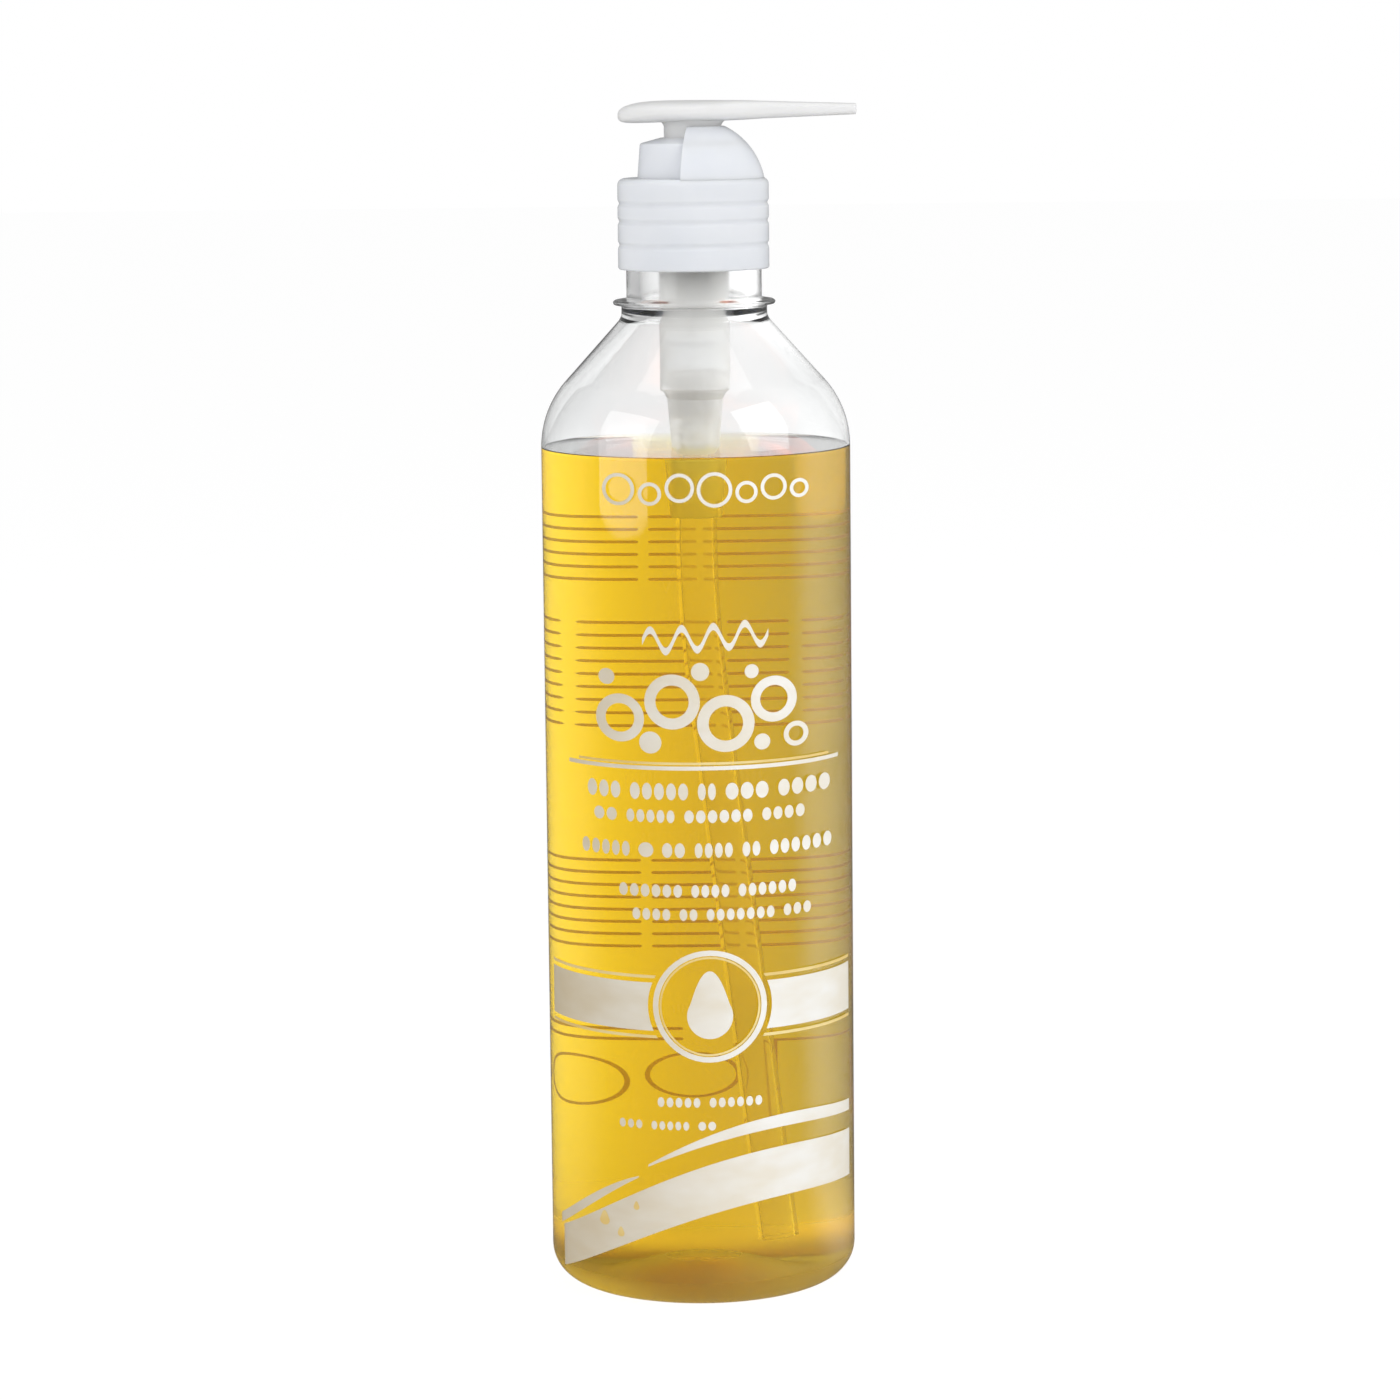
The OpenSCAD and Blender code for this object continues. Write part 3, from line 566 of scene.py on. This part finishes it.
def drop(x, z, radius, side, lift=0.0):
    """Drop with its point upwards: a round belly whose upper third rises to a point two radii up."""
    angle = np.linspace(0, TURN, 48, endpoint=False)[:, None]
    up = np.maximum(np.sin(angle) - 0.5, 0) / 0.5
    r = np.linspace(0, radius, 8)[None]
    return slab(np.stack([x + r * np.cos(angle), z + r * (np.sin(angle) + up ** 1.5)], axis=-1), side,
                ring=True, lift=lift)


FRONT = -1
BACK = 1
PRINT_HALF_W = 30.0
BADGE_X = 1.7
BADGE_Z = 62.6
BADGE_R = 11.4
BADGE_CLEAR = 12.4


def band_beside_badge(low, high, side_sign, side):
    """Strip of the band on one side of the badge, its inner end cut by the clear circle round it."""
    u = np.linspace(0, 1, 40)[:, None]
    z = np.linspace(low, high, 14)[None]
    inner = BADGE_X + side_sign * np.sqrt(BADGE_CLEAR ** 2 - (z - BADGE_Z) ** 2)
    x = inner + (side_sign * PRINT_HALF_W - inner) * u
    return slab(np.stack([x, z + 0 * u], axis=-1), side)


def parabola(a, b, c):
    """Curve z = a + b x + c x^2."""
    return lambda x: a + b * x + c * x * x


def wave(x):
    """Wavy rule's lower edge: z = z0 + 0.06 (x - x0) + 2.2 sin(4 turns over its length)."""
    return 135.2 + 0.06 * (x + 11) + 2.2 * np.sin(TURN * 4 * (x + 11) / 25)


def front_print():
    """White print on the front: bubbles, rows of blocks, band with a badge, and rising sweeps."""
    string = ((-15.4, 166, 3.2), (-9.2, 165.2, 2.3), (-3.3, 166.4, 2.9), (3.6, 166, 3.5),
              (9.9, 165.4, 2.2), (15.3, 166.2, 2.6), (20.4, 165.6, 1.9))
    bubbles = ((-15.6, 120.5, 4.8), (-5.2, 124, 5.5), (5.4, 119.6, 5.7), (15, 124, 4.6), (19.4, 116.6, 2.5))
    dots = ((-9.6, 115.8, 2.2), (0.4, 130, 1.8), (10.6, 129.8, 1.4), (12.6, 115.6, 1.6), (-18.2, 128.6, 1.6))
    ink = []
    for x, z, r in string:
        ink += ink_ring(x, z, r, 0.7, FRONT)
    for x, z, r in bubbles:
        ink += ink_ring(x, z, r, 0.4 * r, FRONT)
    for x, z, r in dots:
        ink += ink_ring(x, z, r, r, FRONT)
    ink += between(-11, 14, wave, lambda x: wave(x) + 1.5, FRONT, 160)
    ink += between(-26, 28, level(110.3), level(111.1), FRONT, 60)
    for z, height, widths, gap, split, middle in (
            (106, 3.4, (7, 12, 4, 9, 11), 1.5, 2.6, 2.0), (101, 2.6, (5, 10, 14, 9), 1.5, 2.2, 0.0),
            (94.2, 3.0, (10, 3, 5, 8, 4, 13), 1.5, 2.2, 1.5), (86, 2.6, (13, 8, 12), 1.4, 2.1, 1.5),
            (81.2, 2.4, (8, 4, 14, 6), 1.4, 2.1, 4.3), (43, 2.0, (9, 11), 1.4, 1.7, 1.5),
            (38.2, 1.8, (5, 8, 4), 1.4, 1.7, -7.0)):
        ink += bar_row(z, height, widths, gap, FRONT, split, middle)
    for sign in (-1, 1):
        ink += band_beside_badge(57.5, 67.3, sign, FRONT)
    ink += ink_ring(BADGE_X, BADGE_Z, BADGE_R, 1.1, FRONT)
    ink += drop(BADGE_X, BADGE_Z - 2, 4.6, FRONT)
    ink += between(-11, PRINT_HALF_W, parabola(34, 0.317, -0.008), parabola(35.7, 0.407, -0.0103),
                   FRONT, 60)
    ink += between(-29, -13, parabola(32.2, 0.198, -0.0148), parabola(27.2, -0.346, -0.0252), FRONT, 40)
    ink += between(-28.5, PRINT_HALF_W, parabola(19.6, 0.31, -0.0068), parabola(29.8, 0.33, -0.008),
                   FRONT, 90, 8)
    make("front_ink", ink, INK, "bottle", ("front_print",))


def gold_accents():
    """Gold lines of the print: under the rule, along the band, in the badge, and drops on the sweep."""
    ink = between(-24, 26, level(111.4), level(111.9), FRONT, 60)
    for sign in (-1, 1):
        for z in (56.0, 68.2):
            ink += band_beside_badge(z, z + 0.6, sign, FRONT)
    ink += ink_ring(BADGE_X, BADGE_Z, BADGE_R - 1.3, 0.4, FRONT)
    for x, z, r in ((-20, 17.4, 1.0), (-16.7, 15.2, 0.7), (-13.5, 21.0, 0.6)):
        ink += drop(x, z, r, FRONT, 0.02)
    make("gold_rules", ink, GOLD_INK, "bottle")


def back_print():
    """Print on the back: rows of fine broken lines, two rings and a panel outline."""
    row_h, line = 0.6, 0.5
    ink = []
    for first, last, step, widths in ((156, 141, 2.6, (14, 5, 11, 7)), (134, 110, 2.7, (8, 13, 6, 10)),
                                      (84, 64, 2.6, (14, 9, 15))):
        for z in np.arange(first, last, -step):
            ink += bar_row(z, row_h, widths, 1, BACK)
    for z in (48.2, 46.0):
        ink += bar_row(z, row_h, (8, 11), 1.2, BACK, 0.0, -12.0)
    ink += ink_ring(-13.2, 36.8, 6.0, line, BACK)
    ink += ink_ring(-0.9, 38.3, 4.9, line, BACK)
    for z in (29.25, 45.45):
        ink += bar(14, z, 14, line, BACK)
    for x in (7.25, 20.75):
        ink += between(x - line / 2, x + line / 2, level(29.5), level(45.2), BACK, 3, 8)
    make("back_ink", ink, BACK_INK, "bottle", ("back_print",))


# Pump

def closure_cap():
    """Closure: ringed skirt and deck turned whole, the dome turned over its front, a low tower behind."""
    inner_r = SKIRT_R - SKIRT_WALL
    hole_r = 8.4
    outer = [(hole_r, DECK_TOP, 0.2), (hole_r, DECK_Z, 0.1), (inner_r, DECK_Z, 0.3),
             (inner_r, SKIRT_Z, 0.2), (SKIRT_R - 0.25, SKIRT_Z, 0.1), (SKIRT_R, SKIRT_Z + 0.3, 0.1)]
    profile = [rounded(outer + [(SKIRT_R, DECK_TOP, 1.4)], 5)[:-6]]
    for fall in GROOVE_DROPS[::-1]:
        profile.append(groove(SKIRT_R, DECK_TOP - fall))
    profile.append(arc(SKIRT_R - 1.4, DECK_TOP - 1.4, 1.4, 0, 90, 9))
    parts = [turned(np.concatenate(profile), 192)]
    tower_top = DOME_Z + np.sqrt(DOME_R ** 2 - TOWER_R ** 2) - 0.3
    tower = rounded([(MOUTH_R, DECK_TOP - 0.4, 0), (TOWER_FOOT_R, DECK_TOP - 0.4, 0),
                     (TOWER_R, tower_top, 0.5), (MOUTH_R, tower_top + 1.2, 0.3)], 5)
    parts.append(turned(tower, 160))
    dome_top = np.sqrt(DOME_R ** 2 - MOUTH_R ** 2)
    first = np.degrees(np.arcsin((DECK_TOP - 0.5 - DOME_Z) / DOME_R))
    last = np.degrees(np.arctan2(dome_top, MOUTH_R))
    dome = np.concatenate([arc(0, DOME_Z, DOME_R, first, last - 1.5, 40),
                           [[MOUTH_R + 0.1, DOME_Z + dome_top - 0.12], [MOUTH_R, DOME_Z + dome_top - 0.4],
                            [MOUTH_R, DECK_TOP - 0.5]]])
    parts += sector(dome, -DOME_HALF, DOME_HALF, 110)
    make("closure_cap", parts, PUMP_WHITE, "closure", ("closure",), 30)


def groove(radius, z, depth=0.3, half_height=0.85, steps=13):
    """Shallow ring round the skirt: depth (1 + cos) / 2 over its height."""
    t = np.linspace(-1, 1, steps)
    return np.stack([radius - depth * (1 + np.cos(np.pi * t)) / 2, z + half_height * t], axis=-1)


def stem_and_collar():
    """Stem with its foot and ball cage, and the chaplet's web and wall, each one closed profile."""
    stem_r, bore_r, hole_r = 3.4, 2.65, 1.5
    waist_low, waist_high = piston_low[2] - 0.04, piston_high[2] - 1.56
    stem = rounded([
        (hole_r, STEM_FOOT, 0.1), (4.0, STEM_FOOT, 0.2), (4.0, waist_low, 0.1), (2.8, waist_low, 0),
        (2.8, waist_high, 0), (stem_r, waist_high, 0.1), (stem_r, STEM_TOP, 0.15), (bore_r, STEM_TOP, 0.1),
        (bore_r, STEM_TOP - 4.6, 0), (hole_r, STEM_TOP - 6.2, 0)], 4)
    make("stem_rod", [turned(stem, 96)], STEM, "head", ("stem",))
    plug_z = chaplet_low[2]
    web = FLANGE_TOP + 0.04
    collar = rounded([
        (3.45, plug_z, 0.1), (5.95, plug_z, 0.2), (5.95, web, 0), (12.65, web, 0.1), (12.65, web + 1.0, 0.2),
        (8.2, web + 1.0, 0.3), (8.2, CHAPLET_TOP, 0.4), (5.9, CHAPLET_TOP, 0.4), (5.9, web + 1.5, 0.2),
        (3.45, web + 1.5, 0.2)], 4)
    make("chaplet_collar", [turned(collar, 128)], PUMP_WHITE, "pump_body", ("chaplet",))


def pump_housing():
    """Housing: flange, barrel, tapered foot and tube socket as one closed profile."""
    flange_z = FLANGE_TOP - 1.2
    barrel_z = flange_z - 38.9
    foot = HOUSING_FOOT
    socket_top = barrel_z - 13.6
    profile = rounded([
        (6.0, FLANGE_TOP, 0.1), (6.0, barrel_z + 1.1, 0.3), (4.25, barrel_z + 1.1, 0.2),
        (4.25, barrel_z - 5.8, 0.1), (2.1, barrel_z - 5.8, 0.1), (2.1, barrel_z - 6.6, 0.1),
        (2.85, barrel_z - 7.2, 0.1), (2.85, socket_top + 2.4, 0), (1.6, socket_top + 0.8, 0.1),
        (1.6, socket_top, 0.1), (3.12, socket_top, 0), (3.12, foot + 0.4, 0), (3.5, foot, 0.1),
        (3.8, foot, 0.15), (3.9, foot + 0.3, 0.2), (4.6, socket_top - 1, 1.0), (5.65, barrel_z - 2, 0.5),
        (6.7, barrel_z, 0.4), (7.1, barrel_z + 0.6, 0.4), (7.1, flange_z, 0.4), (12.65, flange_z, 0.15),
        (12.65, FLANGE_TOP, 0.15)], 5)
    make("pump_housing", [turned(profile, 128)], HOUSING, "pump_body", ("housing",))


TUBE_R = 3.1
TUBE_WALL = 0.7
TUBE_LEAN = np.radians(5.0)
TUBE_BEND_LEN = 30.0


def dip_tube():
    """Dip tube: a round section carried down a line that is upright, bends on one arc and runs straight,
    x = R (1 - cos t) and z = z0 - R sin t on the arc; the skin goes down outside and back up inside."""
    bend_z = HOUSING_FOOT - 3
    bend_r = TUBE_BEND_LEN / TUBE_LEAN
    lean = np.linspace(0, TUBE_LEAN, 24)
    line = np.stack([bend_r * (1 - np.cos(lean)), bend_z - bend_r * np.sin(lean), lean], axis=-1)
    fall = np.linspace(0, line[-1, 1] - tube_low[2] - TUBE_R * np.sin(TUBE_LEAN), 30)[1:]
    straight = np.stack([line[-1, 0] + fall * np.tan(TUBE_LEAN), line[-1, 1] - fall,
                         TUBE_LEAN + 0 * fall], axis=-1)
    line = np.concatenate([[[0, tube_high[2], 0]], line, straight])
    angle = np.linspace(0, TURN, 64, endpoint=False)[None]

    def rings(stations, radius):
        x, z, lean = (stations[:, i][:, None] for i in range(3))
        return np.stack([x + radius * np.cos(angle) * np.cos(lean), -radius * np.sin(angle) + 0 * x,
                         z + radius * np.cos(angle) * np.sin(lean)], axis=-1)

    points = np.concatenate([rings(line, TUBE_R), rings(line[::-1], TUBE_R - TUBE_WALL)])
    make("dip_tube_skin", [grid(points, wrap_rows=True, wrap_columns=True)], TUBE, "pump_body",
         ("dip_tube",))


def superellipse(x, half_w, mid, half_h, power, sides=72):
    """Rings |y / w|^p + |(z - mid) / h|^p = 1 at each x."""
    angle = np.linspace(0, TURN, sides, endpoint=False)[None]
    c, s = np.cos(angle), np.sin(angle)
    p = 2 / np.asarray(power)[:, None]
    y = half_w[:, None] * np.sign(c) * np.abs(c) ** p
    z = mid[:, None] + half_h[:, None] * np.sign(s) * np.abs(s) ** p
    return np.stack([x[:, None] + 0 * y, y, z], axis=-1)


def pump_head():
    """Head: one skin carried from the pad's back to the nozzle's tip and back up the outlet's bore,
    with the round boss below it."""
    wide_x = -1.0
    pad_front = 14.3
    root_w, tip_w = 3.3, 2.2
    root_h, tip_h = 1.9, 1.1
    root_x = pad_front - 4
    u = np.cos(np.linspace(0, np.pi / 2, 36))[:-1]
    back_x = wide_x - (PAD_BACK + wide_x) * u
    back_w = PAD_HALF_W * np.maximum(1 - u ** 2.4, 1e-4) ** (1 / 2.4)
    back_h = PAD_T / 2 * np.maximum(1 - u ** 5, 1e-4) ** (1 / 3)
    back_mid = PAD_MID - 0.8 * u ** 3
    x = np.linspace(wide_x, NOZZLE_TIP - 0.25, 70)
    along = np.clip((x - root_x) / (NOZZLE_TIP - root_x), 0, 1)
    nozzle_w = root_w + (tip_w - root_w) * along
    nozzle_h = root_h + (tip_h - root_h) * along
    t = np.clip((x - wide_x) / (pad_front + 0.7 - wide_x), 0, 1)
    fade = 1 - t * t * (3 - 2 * t)
    front_w = nozzle_w + (PAD_HALF_W - nozzle_w) * fade
    front_h = nozzle_h + (PAD_T / 2 - nozzle_h) * fade
    front_mid = PAD_MID + 0.12 * (1 - fade)
    outlet = 0.75
    tip_x = NOZZLE_TIP - np.array([0.08, 0.0, 0.0, 0.15, 5.0, 5.0])
    tip_half_w = np.array([tip_w - 0.08, tip_w - 0.3, outlet + 0.12, outlet, outlet, 0.0])
    tip_half_h = np.array([tip_h - 0.08, tip_h - 0.3, min(outlet + 0.1, tip_h - 0.32), outlet - 0.05,
                           outlet - 0.05, 0.0])
    xs = np.concatenate([back_x, x, tip_x])
    power = np.interp(xs, [wide_x, root_x, NOZZLE_TIP], [2.6, 2.8, 3.0])
    power[-5:] = 2.0
    mid = np.concatenate([back_mid, front_mid, np.full(6, front_mid[-1])])
    rings = superellipse(xs, np.concatenate([back_w, front_w, tip_half_w]), mid,
                         np.concatenate([back_h, front_h, tip_half_h]), power)
    start = np.repeat(rings[:1].mean(axis=1, keepdims=True), rings.shape[1], axis=1)
    rings = np.concatenate([start, rings])
    boss = rounded([(3.42, BOSS_Z, 0.2), (BOSS_R, BOSS_Z, 0.4), (BOSS_R, HEAD_Z - 0.6, 1.2),
                    (BOSS_R + 1.6, HEAD_Z + 1.2, 0), (0, HEAD_Z + 1.2, 0), (0, STEM_TOP + 0.04, 0),
                    (3.42, STEM_TOP + 0.04, 0)], 5)
    make("head_pad", [grid(rings, wrap_columns=True), turned(boss, 128)], HEAD_WHITE, "head",
         ("pump_head",), 40)


def dress_hidden_solids():
    """Finishes of the solids that keep their own mesh, all inside the pump."""
    finishes = {"neck_gasket": FOAM, "inlet_ball": GLASS, "outlet_ball": GLASS,
                "return_spring": WIRE, "piston": PUMP_WHITE}
    for name, material in finishes.items():
        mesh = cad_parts[name].data
        mesh.materials.clear()
        mesh.materials.append(material)


# Stage, lamps and camera

# Brightness of the surroundings seen through the bottle: level * growth ^ x, with x towards the place
# or direction seen, as from the bottle, and only a share of it in front. The bottle bends the rays of
# its left side to the right, so a brighter right lights its left.
THROUGH_LEVEL = 1.05
SIDE_GROWTH = 2.3
FRONT_SHARE = 0.25
# Brightness of the surroundings as reflections show them: floor, front and back
FLOOR_GLOSS = 0.15
FRONT_GLOSS = 0.14
BACK_GLOSS = 0.28
# Brightness of the surroundings for dull surfaces, and of the floor for the camera with its share
DULL_LEVEL = 0.43
FLOOR_SEEN = 1.07
FLOOR_SHARE = 0.88


def seen_through(tree, split):
    """Brightness for rays through the bottle, from the x and y of the unit vector towards what they meet."""
    graded = math_node(tree, "POWER", SIDE_GROWTH, split.outputs["X"])
    graded = math_node(tree, "MULTIPLY", graded, THROUGH_LEVEL)
    return math_node(tree, "MULTIPLY", graded, ranged(tree, split.outputs["Y"], -0.3, 0.1, FRONT_SHARE, 1.0))


def studio():
    """White surroundings for the camera, graded ones for rays through the bottle, and dimmer ones for
    reflections. The pale floor mostly glows for the camera and keeps a faint shadow."""
    bpy.ops.mesh.primitive_plane_add(size=12.0)
    floor = bpy.context.object
    floor.name = "floor"
    material, tree, add = new_material("floor")
    path = add("ShaderNodeLightPath")
    seen, through, glossy = (path.outputs[f"Is {kind} Ray"] for kind in ("Camera", "Transmission", "Glossy"))
    where = add("ShaderNodeTexCoord")
    away = tree.nodes.new("ShaderNodeVectorMath")
    away.operation = "NORMALIZE"
    tree.links.new(where.outputs["Object"], away.inputs[0])
    split = add("ShaderNodeSeparateXYZ", Vector=away.outputs["Vector"])
    graded = seen_through(tree, split)
    mirrored = math_node(tree, "MULTIPLY", glossy, math_node(tree, "SUBTRACT", 1.0, through))
    strength = math_node(tree, "ADD", math_node(tree, "MULTIPLY", seen, FLOOR_SEEN),
                         math_node(tree, "ADD", math_node(tree, "MULTIPLY", through, graded),
                                   math_node(tree, "MULTIPLY", mirrored, FLOOR_GLOSS)))
    share = math_node(tree, "MAXIMUM", math_node(tree, "MULTIPLY", seen, FLOOR_SHARE),
                      math_node(tree, "MAXIMUM", through, glossy))
    diffuse = add("ShaderNodeBsdfDiffuse", Color=(0.9, 0.9, 0.9, 1))
    glow = add("ShaderNodeEmission", Color=(1, 1, 1, 1), Strength=strength)
    mix = tree.nodes.new("ShaderNodeMixShader")
    tree.links.new(share, mix.inputs[0])
    tree.links.new(diffuse.outputs[0], mix.inputs[1])
    tree.links.new(glow.outputs[0], mix.inputs[2])
    add("ShaderNodeOutputMaterial", Surface=mix.outputs[0])
    floor.data.materials.append(material)

    world = bpy.data.worlds.new("studio")
    world.use_nodes = True
    tree = world.node_tree
    tree.nodes.clear()
    path = tree.nodes.new("ShaderNodeLightPath")
    seen, through, glossy, lit = (path.outputs[f"Is {kind} Ray"]
                                  for kind in ("Camera", "Transmission", "Glossy", "Diffuse"))
    where = tree.nodes.new("ShaderNodeTexCoord")
    split = tree.nodes.new("ShaderNodeSeparateXYZ")
    tree.links.new(where.outputs["Generated"], split.inputs[0])
    graded = seen_through(tree, split)
    mirrored = math_node(tree, "MULTIPLY", glossy, math_node(tree, "SUBTRACT", 1.0, through))
    gloss = ranged(tree, split.outputs["Y"], -0.5, 0.4, FRONT_GLOSS, BACK_GLOSS)
    strength = math_node(tree, "ADD", math_node(tree, "MULTIPLY", lit, DULL_LEVEL), seen)
    strength = math_node(tree, "ADD", strength, math_node(tree, "MULTIPLY", through, graded))
    strength = math_node(tree, "ADD", strength, math_node(tree, "MULTIPLY", mirrored, gloss))
    shown = tree.nodes.new("ShaderNodeBackground")
    shown.inputs["Color"].default_value = (1, 1, 1, 1)
    tree.links.new(strength, shown.inputs["Strength"])
    output = tree.nodes.new("ShaderNodeOutputWorld")
    tree.links.new(shown.outputs[0], output.inputs["Surface"])
    bpy.context.scene.world = world
    paths = bpy.context.scene.cycles
    paths.max_bounces = paths.transmission_bounces = paths.transparent_max_bounces = 28


def lamp(name, place, target, size, power):
    """Rectangular softbox that faces a point and stays out of reflections."""
    light = bpy.data.lights.new(name, "AREA")
    light.shape = "RECTANGLE"
    light.size, light.size_y = size
    light.energy = power
    holder = bpy.data.objects.new(name, light)
    bpy.context.scene.collection.objects.link(holder)
    holder.visible_glossy = False
    holder.location = place
    holder.rotation_euler = (Vector(target) - Vector(place)).to_track_quat("-Z", "Y").to_euler()


def camera():
    """Camera at the photograph's place: distance, height, pitch, yaw and roll solved from its outlines."""
    distance, height = 0.9382, 0.2549
    pitch, yaw, roll = np.radians(8.19), np.radians(-0.021), np.radians(-0.592)
    focal_px, frame_px, sensor = 4638.0, 1400.0, 36.0
    lens = bpy.data.cameras.new("camera")
    lens.sensor_width = sensor
    lens.lens = focal_px / frame_px * sensor
    lens.clip_start = 0.01
    eye = bpy.data.objects.new("camera", lens)
    bpy.context.scene.collection.objects.link(eye)
    turn = Matrix.Rotation(yaw, 4, "Z") @ Matrix.Rotation(np.pi / 2 - pitch, 4, "X")
    turn = turn @ Matrix.Rotation(roll, 4, "Z")
    eye.matrix_world = Matrix.Translation((0, -distance, height)) @ turn
    bpy.context.scene.camera = eye


camera()
studio()
lamp("key_right", (0.95, -0.6, 0.7), (0, 0, 0.15), (0.8, 1.1), 8.2)
lamp("fill_left", (-0.9, -0.6, 0.5), (0, 0, 0.12), (0.9, 1.0), 5.8)
lamp("top", (0.0, 0.2, 1.2), (0, 0, 0.1), (1.0, 1.0), 3.2)
bottle_shell()
thread_ridge("neck_thread", THREAD_ROOT_R - 0.1, 13.55, COLLAR_TOP + 3.0, 1.75, "bottle", PET)
soap_body()
clear_sleeve()
front_print()
gold_accents()
back_print()
pump_housing()
dip_tube()
stem_and_collar()
closure_cap()
thread_ridge("closure_thread", SKIRT_R - SKIRT_WALL + 0.1, 13.2, COLLAR_TOP + 5.1, 1.5, "closure",
             PUMP_WHITE)
pump_head()
dress_hidden_solids()
bpy.context.scene.view_settings.view_transform = "Standard"
